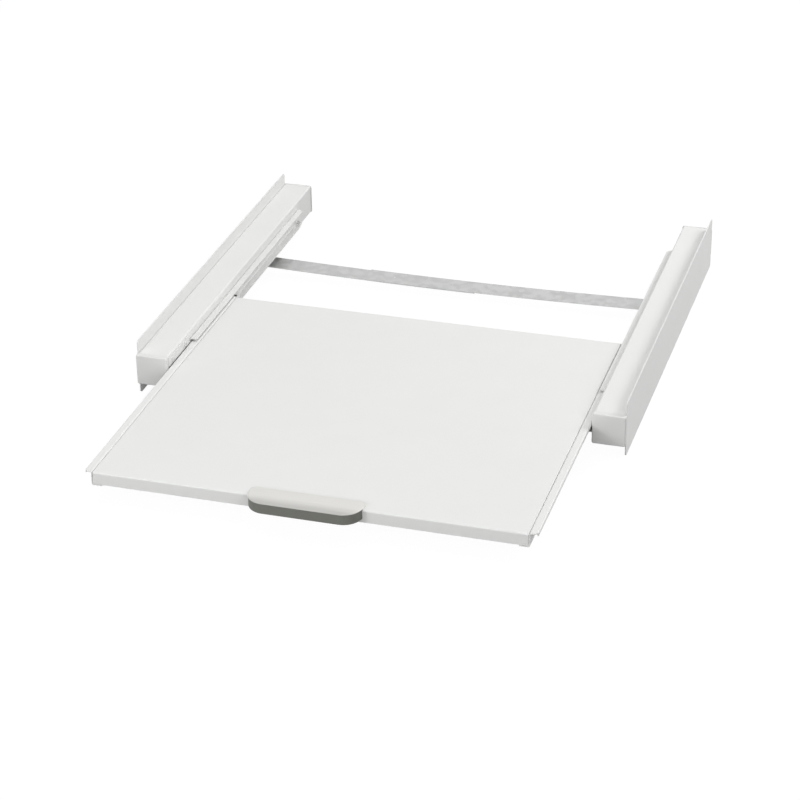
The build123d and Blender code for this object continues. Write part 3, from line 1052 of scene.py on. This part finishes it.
@dataclass
class Handle:
    """Handle on the shelf's lip: a pale cover over a dark hollow grip."""

    shop: Workshop
    front_corner: float = 22 * MM
    back_corner: float = 6 * MM
    least_corner: float = 0.3 * MM
    corner_steps: int = 14
    sharp: float = 50.0
    rim: float = 0.1 * MM
    cover_roll: float = 0.3 * MM
    cover_roll_steps: int = 4
    proud: float = 0.5 * MM
    crown_reach: float = 0.92
    crown_steps: int = 12
    crown_bunching: float = 1.5
    crown_fullness: float = 2.4
    pad_front_corner: float = 0.2 * MM
    pad_steps: int = 8
    pad_overlap: float = 0.02 * MM
    grip_inset: float = 0.5 * MM
    grip_roll: float = 1.2 * MM
    grip_roll_steps: int = 5
    grip_wall: float = 2.5 * MM
    grip_roof: float = 2 * MM
    boss_radius: float = 3.6 * MM
    boss_length: float = 7 * MM
    boss_overlap: float = 0.1 * MM
    boss_steps: int = 24

    def build(self) -> None:
        """Build and dress the cover and the grip."""
        self.cover()
        self.grip()

    def cover(self) -> None:
        """Cover: a shallow crowned moulding whose front corners are well rounded."""
        low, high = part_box("handle_cover")
        grip_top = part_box("handle_grip")[1].z
        tray_low, tray_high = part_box("shelf_tray")
        shoulder = grip_top + self.rim + self.cover_roll
        levels = [(0.0, grip_top), (0.0, grip_top + self.rim)]
        rolled = quarter_round(self.cover_roll, self.cover_roll_steps)[1:]
        levels += [(inset, shoulder - below) for inset, below in rolled]
        crown = high.z + self.proud - shoulder
        depth = (high.y - low.y) / 2
        span = depth * self.crown_reach - self.cover_roll
        for i in range(1, self.crown_steps + 1):
            inset = self.cover_roll + span * (i / self.crown_steps) ** self.crown_bunching
            levels.append((inset, shoulder + crown * self.swell(inset, depth)))
        shape = bmesh.new()
        skinned(shape, [self.cover_plan(inset, z) for inset, z in levels])
        radii = [self.pad_front_corner] * 2 + [self.back_corner] * 2
        pad = rounded_rectangle((low.x, tray_low.y), high.xy, radii, self.pad_steps)
        drawn_out(shape, pad, Along.Z, tray_high.z, grip_top + self.pad_overlap)
        plastic = Slot.COVER_PLASTIC
        self.shop.finish(
            "handle_cover", "moulded", shape, plastic, Body.SHELF, sharp=self.sharp
        )

    def swell(self, inset: float, depth: float) -> float:
        """Share of the crown's height reached at an inset from the rim."""
        reached = (inset - self.cover_roll) / (depth - self.cover_roll)
        return math.sqrt(1 - (1 - reached) ** self.crown_fullness)

    def cover_plan(self, inset: float, z: float) -> list[Vector]:
        """Loop of the cover's outline.

        Args:
            inset: how far it is drawn in.
            z: the loop's height.

        Returns:
            The loop's points.
        """
        low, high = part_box("handle_cover")
        back = max(self.back_corner - inset, self.least_corner)
        front = min(self.front_corner - inset, high.y - low.y - 2 * inset - back)
        radii = [front, front, back, back]
        outline = rounded_rectangle(low.xy, high.xy, radii, self.corner_steps, (inset, inset))
        return Along.Z.loop(outline, z)

    def grip_plan(self, inset: float, back: float, z: float) -> list[Vector]:
        """Loop of the grip's outline: the cover's front part, cut off at the lip.

        Args:
            inset: how far the loop is drawn in from the cover's outline.
            back: depth at which the outline is cut off.
            z: the loop's height.

        Returns:
            The points, from the left end round the front to the right end.
        """
        low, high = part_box("handle_cover")
        steps = self.corner_steps
        radius = self.front_corner - inset
        centre_y = low.y + self.front_corner
        cut = math.degrees(math.asin((centre_y - back) / radius))
        left = arc((low.x + self.front_corner, centre_y), radius, 180 + cut, 270, steps)
        right = arc((high.x - self.front_corner, centre_y), radius, 270, 360 - cut, steps)
        return Along.Z.loop(left + right, z)

    def grip(self) -> None:
        """Grip: a hollow moulding open below for the fingertips, with a boss for each screw."""
        low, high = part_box("handle_grip")
        rolled = quarter_round(self.grip_roll, self.grip_roll_steps)
        levels = [(self.grip_inset + below, low.z + inset) for inset, below in rolled]
        levels.append((self.grip_inset, high.z))
        wall = self.grip_inset + self.grip_wall
        back = high.y - self.grip_wall
        outside = [self.grip_plan(inset, high.y, z) for inset, z in levels]
        inside = [self.grip_plan(wall, back, z) for z in (low.z, high.z - self.grip_roof)]
        shape = bmesh.new()
        hollow(shape, outside, inside)
        step = 360 / self.boss_steps
        for screw_low, screw_high in self.shop.solids("handle_screws"):
            centre = ((screw_low.x + screw_high.x) / 2, (screw_low.z + screw_high.z) / 2)
            boss = arc(centre, self.boss_radius, 0, 360 - step, self.boss_steps - 1)
            drawn_out(shape, boss, Along.Y, back - self.boss_length, back + self.boss_overlap)
        self.shop.finish(
            "handle_grip", "moulded", shape, Slot.GRIP_PLASTIC, Body.SHELF, sharp=self.sharp
        )


@dataclass
class Roller:
    """Nylon roller turned about X, with a dished hub face and bevelled rims."""

    shop: Workshop
    node: str
    body: Body
    bore: float = 2.05 * MM
    bevel: float = 0.5 * MM
    hub: float = 3.1 * MM
    rim: float = 4.8 * MM
    dish: float = 0.7 * MM
    slope: float = 0.3 * MM
    edge: float = 0.1 * MM
    sharp: float = 35.0
    steps: int = 48

    def build(self) -> None:
        """Build and dress the roller."""
        low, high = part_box(self.node)
        middle = (low + high) / 2
        radius = (high.z - low.z) / 2
        half = (high.x - low.x) / 2
        profile = [
            (-half, self.bore),
            (-half, self.hub),
            (-half + self.dish, self.hub + self.slope),
            (-half + self.dish, self.rim - self.slope),
            (-half, self.rim),
            (-half, radius - self.bevel),
            (-half + self.bevel, radius),
        ]
        profile += [(-x, r) for x, r in reversed(profile)]
        turns = [2 * math.pi * i / self.steps for i in range(self.steps)]
        loops = [
            [middle + Vector((x, r * math.cos(t), r * math.sin(t))) for t in turns]
            for x, r in profile
        ]
        shape = bmesh.new()
        rings(shape, loops, closed=True)
        nylon = Slot.BLACK_NYLON
        self.shop.finish(self.node, "turned", shape, nylon, self.body, self.edge, 1, self.sharp)


@dataclass
class Crossbar:
    """Galvanised strip in two overlapping halves, screwed to the rails and sagging between."""

    shop: Workshop
    sag: float = 4 * MM
    sheet: float = 1 * MM
    bend: float = 1 * MM
    bend_steps: int = 6
    edge: float = 0.15 * MM
    run_steps: int = 48

    def build(self) -> None:
        """Build and dress both halves."""
        for side in Side:
            self.half(side)

    def drop(self, x: float) -> float:
        """How far the strip hangs below the line between its ends.


        Returns:
            The drop there, as an evenly loaded strip has it that rests on its two ends.
        """
        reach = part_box("crossbar_right")[1].x
        share = min(abs(x) / reach, 1.0)
        return self.sag * (1 - share**2) * (5 - share**2) / 5

    def half(self, side: Side) -> None:
        """One half: a flat run from its inner end to the fold, and the tab that the screws hold.

        Args:
            side: the side that its tab is on.
        """
        node = f"crossbar_{side.name.lower()}"
        low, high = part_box(node)
        inner, outer = (low.x, high.x) if side is Side.RIGHT else (high.x, low.x)
        half = self.sheet / 2
        tab = outer - side.value * half
        corners = [(inner, low.z + half), (tab, low.z + half), (tab, high.z)]
        line = fold_line(corners, [self.bend + half], self.bend_steps)
        start, end = Vector(line[0]), Vector(line[1])
        run = [tuple(start.lerp(end, i / self.run_steps)) for i in range(self.run_steps)]
        line = [(x, z - self.drop(x)) for x, z in run] + line[1:]
        shape = bmesh.new()
        drawn_out(shape, sheet_outline(line, self.sheet), Along.Y, low.y, high.y)
        strip = Slot.GALVANISED_STEEL
        self.shop.finish(node, "galvanised", shape, strip, Body.FRAME, self.edge)


class FastenerTree(NodeBoard):
    """Geometry Nodes tree that sets a turned head and its shank on every point of a mesh."""

    SOCKETS = (
        ("Head Radius", "NodeSocketFloat", 3 * MM),
        ("Head Height", "NodeSocketFloat", 2 * MM),
        ("Shoulder", "NodeSocketFloat", 0.5),
        ("Seat Radius", "NodeSocketFloat", 2 * MM),
        ("Seat Depth", "NodeSocketFloat", 0.0),
        ("Shank Radius", "NodeSocketFloat", 1.75 * MM),
        ("Shank Length", "NodeSocketFloat", 8 * MM),
        ("Recess", "NodeSocketBool", True),
        ("Recess Length", "NodeSocketFloat", 3 * MM),
        ("Recess Depth", "NodeSocketFloat", 1.1 * MM),
        ("Seed", "NodeSocketInt", 7),
        ("Finish", "NodeSocketMaterial", None),
    )
    RINGS = 13
    SPOKES = 33
    SHANK_SIDES = 20
    DOME_SHARE = 0.75
    UNDER_DOME = 0.01
    SEAT_RUN = 1.5
    RECESS_WIDTH = 0.24
    WELD = 0.002 * MM

    def __init__(self) -> None:
        """Build the tree."""
        super().__init__(bpy.data.node_groups.new("fastener_heads", "GeometryNodeTree"))
        face = self.tree.interface
        face.new_socket("Geometry", in_out="INPUT", socket_type="NodeSocketGeometry")
        for name, kind, default in self.SOCKETS:
            socket = face.new_socket(name, in_out="INPUT", socket_type=kind)
            if default is not None:
                socket.default_value = default
        face.new_socket("Geometry", in_out="OUTPUT", socket_type="NodeSocketGeometry")
        self.inputs = self.node("NodeGroupInput").outputs
        self.wire()

    def vector(self, x: object, y: object, z: object) -> Socket:
        """Vector of three sockets or numbers."""
        return self.node("ShaderNodeCombineXYZ", {0: x, 1: y, 2: z}).outputs[0]

    def choose(self, test: Socket, below: object, above: object) -> Socket:
        """One of two values, by whether the test socket is 0 or 1."""
        feeds = {0: test, 2: below, 3: above}
        return self.node("ShaderNodeMix", feeds, data_type="FLOAT").outputs[0]

    def moved(self, part: Socket, z: object) -> Socket:
        """Geometry raised by a height."""
        feeds = {"Geometry": part, "Translation": self.vector(0.0, 0.0, z)}
        return self.node("GeometryNodeTransform", feeds).outputs[0]

    def head(self) -> Socket:
        """Bend a head out of a grid: a dome with a shoulder, then the cone or flat under it.

        Returns:
            The socket of the head's geometry.
        """
        calc = self.calc
        feeds = {0: 1.0, 1: 1.0, 2: self.RINGS, 3: self.SPOKES}
        grid = self.node("GeometryNodeMeshGrid", feeds).outputs[0]
        place = self.node("GeometryNodeInputPosition").outputs[0]
        split = self.node("ShaderNodeSeparateXYZ", {0: place}).outputs
        along = calc("ADD", split[0], 0.5)
        turn = calc("MULTIPLY", calc("ADD", split[1], 0.5), 2 * math.pi)
        over = calc("MINIMUM", calc("DIVIDE", along, self.DOME_SHARE), 1.0)
        swing = calc("MULTIPLY", over, math.pi / 2)
        shoulder = self.inputs["Shoulder"]
        rise = calc("POWER", calc("MAXIMUM", calc("COSINE", swing)), shoulder)
        reach = calc("POWER", calc("MAXIMUM", calc("SINE", swing)), shoulder)
        past = calc("SUBTRACT", along, self.DOME_SHARE)
        under = calc("DIVIDE", past, 1 - self.DOME_SHARE)
        inward = calc("MULTIPLY", calc("SUBTRACT", 1.0, under), self.SEAT_RUN)
        seat = calc("MULTIPLY", self.inputs["Seat Radius"], calc("MINIMUM", inward, 1.0))
        seat_height = calc("MULTIPLY", self.inputs["Seat Depth"], -1.0)
        dome = calc("MULTIPLY", reach, self.inputs["Head Radius"])
        dome_height = calc("MULTIPLY", rise, self.inputs["Head Height"])
        below = calc("GREATER_THAN", under, self.UNDER_DOME)
        radius = self.choose(below, dome, seat)
        height = self.choose(below, dome_height, seat_height)
        x = calc("MULTIPLY", radius, calc("COSINE", turn))
        y = calc("MULTIPLY", radius, calc("SINE", turn))
        feeds = {"Geometry": grid, "Position": self.vector(x, y, height)}
        bent = self.node("GeometryNodeSetPosition", feeds).outputs[0]
        feeds = {"Geometry": bent, "Distance": self.WELD}
        return self.node("GeometryNodeMergeByDistance", feeds).outputs[0]

    def recessed(self, head: Socket) -> Socket:
        """Cut a cross recess into the head, where the Recess input asks for one.

        Args:
            head: the socket of the plain head.

        Returns:
            The socket of the head's geometry.
        """
        settings = {"operation": "DIFFERENCE", "solver": "EXACT"}
        cut = self.node("GeometryNodeMeshBoolean", {0: head}, **settings)
        length = self.inputs["Recess Length"]
        width = self.calc("MULTIPLY", length, self.RECESS_WIDTH)
        depth = self.calc("MULTIPLY", self.inputs["Recess Depth"], 2.0)
        for x, y in ((length, width), (width, length)):
            bar = self.node("GeometryNodeMeshCube", {"Size": self.vector(x, y, depth)})
            self.feed(cut.inputs[1], self.moved(bar.outputs[0], self.inputs["Head Height"]))
        feeds = {0: self.inputs["Recess"], 1: head, 2: cut.outputs[0]}
        return self.node("GeometryNodeSwitch", feeds, input_type="GEOMETRY").outputs[0]

    def shank(self) -> Socket:
        """Make a plain shank from under the head down to its tip.

        Returns:
            The socket of the shank's geometry.
        """
        length = self.inputs["Shank Length"]
        sizes = {"Radius": self.inputs["Shank Radius"], "Depth": length}
        feeds = {"Vertices": self.SHANK_SIDES, **sizes}
        rod = self.node("GeometryNodeMeshCylinder", feeds).outputs[0]
        return self.moved(rod, self.calc("MULTIPLY", length, -0.5))

    def wire(self) -> None:
        """Join head and shank and set them on the points, each with a random turn of its own."""
        whole = self.node("GeometryNodeJoinGeometry")
        self.feed(whole.inputs[0], self.recessed(self.head()))
        self.feed(whole.inputs[0], self.shank())
        attribute = {"Name": "outward"}
        outward = self.node(
            "GeometryNodeInputNamedAttribute", attribute, data_type="FLOAT_VECTOR"
        ).outputs[0]
        aligned = self.node("FunctionNodeAlignRotationToVector", {"Vector": outward}, axis="Z")
        feeds = {"Max": 1.0, "Seed": self.inputs["Seed"]}
        chance = self.node("FunctionNodeRandomValue", feeds, data_type="FLOAT").outputs
        share = next(socket for socket in chance if socket.enabled)
        angle = self.calc("MULTIPLY", share, math.pi / 2)
        twist = self.node("FunctionNodeAxisAngleToRotation", {"Angle": angle})
        feeds = {"Rotation": aligned.outputs[0], "Rotate By": twist.outputs[0]}
        turned = self.node("FunctionNodeRotateRotation", feeds, rotation_space="LOCAL")
        feeds = {
            "Points": self.inputs["Geometry"],
            "Instance": whole.outputs[0],
            "Rotation": turned.outputs[0],
        }
        spread = self.node("GeometryNodeInstanceOnPoints", feeds).outputs[0]
        real = self.node("GeometryNodeRealizeInstances", {0: spread}).outputs[0]
        feeds = {"Geometry": real, "Material": self.inputs["Finish"]}
        self.node("NodeGroupOutput", {0: self.node("GeometryNodeSetMaterial", feeds).outputs[0]})

    def identifier(self, name: str) -> str:
        """Identifier of an input socket, which a modifier's value is set by."""
        sockets = self.tree.interface.items_tree
        return next(s.identifier for s in sockets if s.name == name and s.in_out == "INPUT")


@dataclass(frozen=True)
class Head:
    """Sizes of one kind of fastener head, and which way it faces."""

    outward: Direction
    radius: float
    height: float
    shoulder: float = 0.5
    seat_radius: float = 1.6 * MM
    seat_depth: float = 0.0
    recess: float = 0.0
    recess_depth: float = 1.1 * MM


def inward_x(middle: Vector) -> Vector:
    return Vector((-math.copysign(1.0, middle.x), 0, 0))


def outward_x(middle: Vector) -> Vector:
    return -inward_x(middle)


def backward(middle: Vector) -> Vector:
    """Direction to the back, wherever the fastener is."""
    return Vector((0, 1, 0))


def upward(middle: Vector) -> Vector:
    """Direction up, wherever the fastener is."""
    return Vector((0, 0, 1))


def downward(middle: Vector) -> Vector:
    """Direction down, wherever the fastener is."""
    return Vector((0, 0, -1))


def no_drop(x: float) -> float:
    """Drop of a fastener that sits on nothing that sags."""
    return 0.0


@dataclass
class Fasteners:
    """All the fasteners of one CAD node, rebuilt where its solids lie."""

    shop: Workshop
    tree: FastenerTree
    node: str
    body: Body
    slot: Slot
    heads: Sequence[Head]
    shank_radius: float
    seed: int
    drop: Callable[[float], float]
    sharp: float = 35.0

    def build(self) -> None:
        """Build every head of the node and join them into one piece."""
        shape = bmesh.new()
        for head in self.heads:
            mesh = self.grown(head)
            shape.from_mesh(mesh)
            bpy.data.meshes.remove(mesh)
        self.shop.finish(self.node, "made", shape, self.slot, self.body, sharp=self.sharp)

    def grown(self, head: Head) -> bpy.types.Mesh:
        """Run the tree for one kind of head.

        Args:
            head: the head's sizes and direction.

        Returns:
            A plain mesh of every such head in the node.
        """
        places = []
        directions = []
        for low, high in self.shop.solids(self.node):
            middle = (low + high) / 2
            outward = head.outward(middle)
            half = abs((high - low).dot(outward)) / 2
            length = 2 * half - head.height
            seat = middle + outward * half - outward * head.height
            places.append(seat - Vector((0, 0, self.drop(middle.x))))
            directions.extend(outward)
        points = bpy.data.meshes.new("fastener_points")
        points.from_pydata(places, [], [])
        attribute = points.attributes.new("outward", "FLOAT_VECTOR", "POINT")
        attribute.data.foreach_set("vector", directions)
        holder = bpy.data.objects.new("fastener_points", points)
        bpy.context.scene.collection.objects.link(holder)
        modifier = holder.modifiers.new("fasteners", "NODES")
        modifier.node_group = self.tree.tree
        values = {
            "Head Radius": head.radius,
            "Head Height": head.height,
            "Shoulder": head.shoulder,
            "Seat Radius": head.seat_radius,
            "Seat Depth": head.seat_depth,
            "Shank Radius": self.shank_radius,
            "Shank Length": length,
            "Recess": head.recess > 0,
            "Recess Length": head.recess,
            "Recess Depth": head.recess_depth,
            "Seed": self.seed,
            "Finish": self.shop.materials[self.slot],
        }
        for name, value in values.items():
            modifier[self.tree.identifier(name)] = value
        mesh = plain_mesh(holder)
        bpy.data.objects.remove(holder)
        return mesh


@dataclass(frozen=True)
class PhotoCamera:
    target: Point3 = (26.5 * MM, -121.3 * MM, 30 * MM)
    distance: float = 2.8856
    yaw: float = 17.11
    pitch: float = 28.0
    roll: float = -0.865
    focal_pixels: float = 2437.4
    image_width: float = 800
    sensor: float = 36.0
    clip_end: float = 50.0

    def make(self) -> None:
        """Create the camera and make it the scene's."""
        yaw, pitch, roll = (math.radians(angle) for angle in (self.yaw, self.pitch, self.roll))
        reach = math.cos(pitch)
        ahead = Vector((-math.sin(yaw) * reach, math.cos(yaw) * reach, -math.sin(pitch)))
        across = Vector((math.cos(yaw), math.sin(yaw), 0))
        upright = across.cross(ahead)
        right = across * math.cos(roll) + upright * math.sin(roll)
        up = upright * math.cos(roll) - across * math.sin(roll)
        turned = Matrix((right, up, -ahead)).transposed().to_4x4()
        data = bpy.data.cameras.new("photo_camera")
        data.sensor_width = self.sensor
        data.lens = self.focal_pixels / self.image_width * self.sensor
        data.clip_end = self.clip_end
        camera = bpy.data.objects.new("photo_camera", data)
        place = Vector(self.target) - ahead * self.distance
        camera.matrix_world = Matrix.Translation(place) @ turned
        bpy.context.scene.collection.objects.link(camera)
        bpy.context.scene.camera = camera


@dataclass(frozen=True)
class Lamp:
    """One soft box."""

    name: str
    place: Point3
    size: float
    power: float

    def make(self, aim: Point3) -> None:
        """Create the lamp.

        Args:
            aim: the point that it faces.
        """
        data = bpy.data.lights.new(self.name, "AREA")
        data.shape = "SQUARE"
        data.size = self.size
        data.energy = self.power
        lamp = bpy.data.objects.new(self.name, data)
        lamp.location = self.place
        facing = Vector(aim) - Vector(self.place)
        lamp.rotation_euler = facing.to_track_quat("-Z", "Y").to_euler()
        bpy.context.scene.collection.objects.link(lamp)


@dataclass
class Studio:
    """Plain pale floor, white surroundings and soft lamps."""

    floor_size: float = 16.0
    floor_drop: float = 0.02 * MM
    floor_color: Color = (0.22, 0.22, 0.22)
    floor_white: float = 1.26
    floor_white_share: float = 0.77
    sky: float = 0.187
    white: Color = (1.0, 1.0, 1.0)
    aim: Point3 = (0.0, 0.0, 30 * MM)
    lamps: tuple[Lamp, ...] = (
        Lamp("top_box", (-0.1, 0.2, 3.0), size=3.0, power=40),
        Lamp("front_box", (0.0, -3.0, 1.0), size=2.0, power=19),
        Lamp("front_right_box", (2.2, -2.2, 1.3), size=1.6, power=22),
        Lamp("front_left_box", (-1.1, -1.7, 0.8), size=0.7, power=11.8),
        Lamp("back_right_box", (1.6, 1.6, 1.6), size=1.0, power=34),
    )

    def build(self) -> None:
        """Make the floor, the surroundings and the lamps."""
        bpy.context.scene.view_settings.view_transform = "Standard"
        self.floor()
        self.surroundings()
        for lamp in self.lamps:
            lamp.make(self.aim)

    def seen_directly(self, board: NodeBoard) -> Socket:
        """Add a value that is 1 for rays that show the background.

        Args:
            board: the tree to add it to.

        Returns:
            The socket of the value, which is 1 for the camera, and in gloss and glass.
        """
        rays = board.node("ShaderNodeLightPath").outputs
        seen = board.calc("MAXIMUM", rays["Is Camera Ray"], rays["Is Glossy Ray"])
        return board.calc("MAXIMUM", seen, rays["Is Transmission Ray"])

    def floor(self) -> None:
        """Pale floor that keeps a faint shadow and shows white."""
        half = self.floor_size / 2
        corners = [(-half, -half, 0), (half, -half, 0), (half, half, 0), (-half, half, 0)]
        mesh = bpy.data.meshes.new("floor")
        mesh.from_pydata(corners, [], [(0, 1, 2, 3)])
        floor = bpy.data.objects.new("floor", mesh)
        floor.location.z = -self.floor_drop
        bpy.context.scene.collection.objects.link(floor)
        material = bpy.data.materials.new("floor_paint")
        material.use_nodes = True
        board = NodeBoard(material.node_tree)
        paint = board.node("ShaderNodeBsdfDiffuse", {"Color": (*self.floor_color, 1.0)})
        glow = board.node("ShaderNodeEmission", {"Strength": self.floor_white})
        share = board.calc("MULTIPLY", self.seen_directly(board), self.floor_white_share)
        feeds = {0: share, 1: paint.outputs[0], 2: glow.outputs[0]}
        mix = board.node("ShaderNodeMixShader", feeds)
        board.node("ShaderNodeOutputMaterial", {"Surface": mix.outputs[0]})
        mesh.materials.append(material)

    def surroundings(self) -> None:
        """White to look at, and a softer light on the object."""
        world = bpy.data.worlds.new("studio")
        world.use_nodes = True
        bpy.context.scene.world = world
        board = NodeBoard(world.node_tree)
        light, view = (
            board.node("ShaderNodeBackground", {"Color": (*self.white, 1.0), "Strength": strength})
            for strength in (self.sky, 1.0)
        )
        feeds = {0: self.seen_directly(board), 1: light.outputs[0], 2: view.outputs[0]}
        mix = board.node("ShaderNodeMixShader", feeds)
        board.node("ShaderNodeOutputWorld", {"Surface": mix.outputs[0]})


def build_fasteners(shop: Workshop, crossbar: Crossbar) -> None:
    """Rebuild every screw and rivet with its head, recess and shank.

    Args:
        shop: the workshop that finishes them.
        crossbar: the strip whose rivets hang with it.
    """
    tree = FastenerTree()
    pan = Head(inward_x, radius=3 * MM, height=2 * MM, seat_radius=2 * MM, recess=3.2 * MM)
    handle_pan = replace(pan, outward=backward)
    small_pan = replace(pan, radius=2.7 * MM, seat_radius=1.9 * MM, recess=2.9 * MM)
    flush = Head(
        inward_x,
        radius=3.2 * MM,
        height=0.02 * MM,
        seat_radius=2.2 * MM,
        seat_depth=1.2 * MM,
        recess=3 * MM,
    )
    rivet_head = Head(outward_x, radius=3.2 * MM, height=0.4 * MM, shoulder=0.8)
    rivet_tail = Head(inward_x, radius=2.6 * MM, height=1.4 * MM, shoulder=0.7)
    strip_top = Head(
        upward, radius=3 * MM, height=0.03 * MM, seat_radius=2 * MM, seat_depth=1 * MM
    )
    strip_tail = Head(downward, radius=3.5 * MM, height=0.3 * MM, shoulder=0.8)
    screw, handle_screw, rivet, strip_rivet = 1.75 * MM, 1.5 * MM, 1.6 * MM, 2 * MM
    frame, shelf = Body.FRAME, Body.SHELF
    coated, zinc = Slot.WHITE_SCREWS, Slot.ZINC_STEEL
    sets = (
        ("runner_ear_screws", frame, coated, [pan], screw, 3, no_drop),
        ("runner_flush_screws", frame, zinc, [flush], screw, 5, no_drop),
        ("crossbar_screws", frame, zinc, [small_pan], screw, 8, no_drop),
        ("handle_screws", shelf, zinc, [handle_pan], handle_screw, 2, no_drop),
        ("tray_rivets", shelf, zinc, [rivet_head, rivet_tail], rivet, 7, no_drop),
        ("crossbar_rivets", frame, zinc, [strip_top, strip_tail], strip_rivet, 7, crossbar.drop),
    )
    for settings in sets:
        Fasteners(shop, tree, *settings).build()


def main() -> None:
    """Load the frame, dress every sub-assembly in order and set up the camera and the studio."""
    logging.basicConfig(level=logging.INFO, format="%(message)s")
    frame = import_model()
    shop = Workshop(frame)
    PhotoCamera().make()
    Studio().build()
    for side in Side:
        Rail(shop, side).build()
    Shelf(shop).build()
    Handle(shop).build()
    rollers = {
        "left_front_roller": Body.FRONT_LEFT_ROLLER,
        "right_front_roller": Body.FRONT_RIGHT_ROLLER,
        "left_rear_roller": Body.REAR_LEFT_ROLLER,
        "right_rear_roller": Body.REAR_RIGHT_ROLLER,
    }
    for node, body in rollers.items():
        Roller(shop, node, body).build()
    crossbar = Crossbar(shop)
    crossbar.build()
    build_fasteners(shop, crossbar)
    for node in ("front_roller_pins", "rear_roller_pins"):
        shop.dress_node(node, shop.materials[Slot.ZINC_STEEL])


if __name__ == "__main__":
    main()
